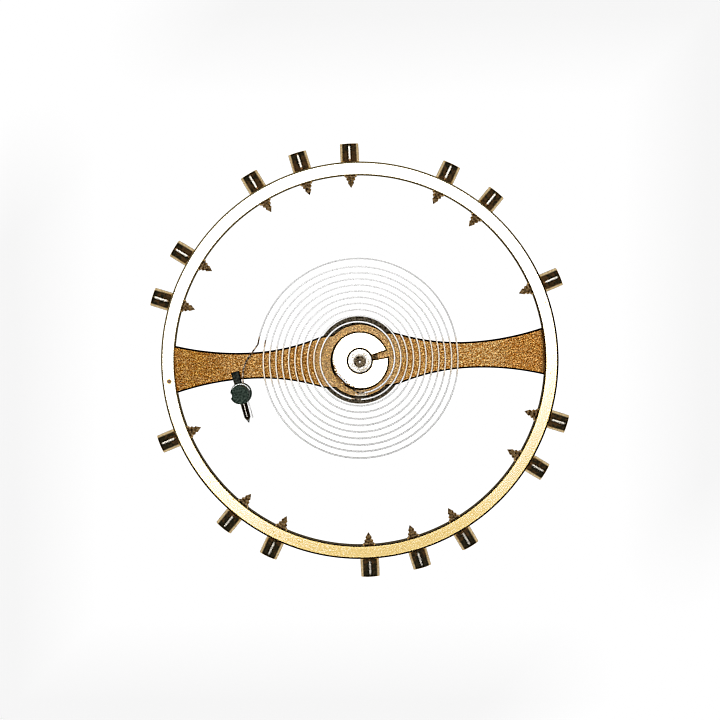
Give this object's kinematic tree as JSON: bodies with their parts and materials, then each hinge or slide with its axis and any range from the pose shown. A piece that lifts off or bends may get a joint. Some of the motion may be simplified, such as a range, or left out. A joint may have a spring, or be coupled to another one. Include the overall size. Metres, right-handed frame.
{
  "type": "balance wheel",
  "caption": "Screw balance of a wristwatch: brass rim and arms on a pivoted staff, with rollers, split collet, flat hairspring and stud; it swings to and fro against the spring.",
  "frame": {"origin": "middle of the rim's height, on the staff's axis", "axes": "+Z along the staff towards the hairspring's side and the upper pivot, X along the two arms"},
  "size_m": [0.0104, 0.011, 0.0032],
  "materials": {
    "gilt_brass": "polished rim, frosted arms",
    "screw_brass": "turned and darkened",
    "collet_brass": "polished",
    "pin_brass": "satin",
    "polished_steel": "polished",
    "roller_steel": "polished, darkened",
    "spring_steel": "bright",
    "stud_steel": "dark oiled",
    "ruby": "polished"
  },
  "bodies": {
    "stud": {"stud": "stud_steel", "stud_pin": "stud_steel", "hairspring": "spring_steel"},
    "balance": {"rim_and_arms": "gilt_brass", "rim_screw_01": "screw_brass", "rim_screw_02": "screw_brass", "rim_screw_03": "screw_brass", "rim_screw_04": "screw_brass", "rim_screw_05": "screw_brass", "rim_screw_06": "screw_brass", "rim_screw_07": "screw_brass", "rim_screw_08": "screw_brass", "rim_screw_09": "screw_brass", "rim_screw_10": "screw_brass", "rim_screw_11": "screw_brass", "rim_screw_12": "screw_brass", "rim_screw_13": "screw_brass", "rim_screw_14": "screw_brass", "rim_screw_15": "screw_brass", "rim_screw_16": "screw_brass", "balance_staff": "polished_steel", "roller_table": "roller_steel", "safety_roller": "roller_steel", "impulse_jewel": "ruby", "collet": "collet_brass", "collet_pin": "pin_brass"}
  },
  "joints": [
    {"name": "balance_swing", "type": "hinge", "parent": "stud", "child": "balance", "pos_m": [0, 0, 0], "axis": [0, 0, 1], "range_deg": [-300, 300], "stiffness_Nm_per_rad": 0.00000038, "deforming": ["hairspring"]}
  ]
}
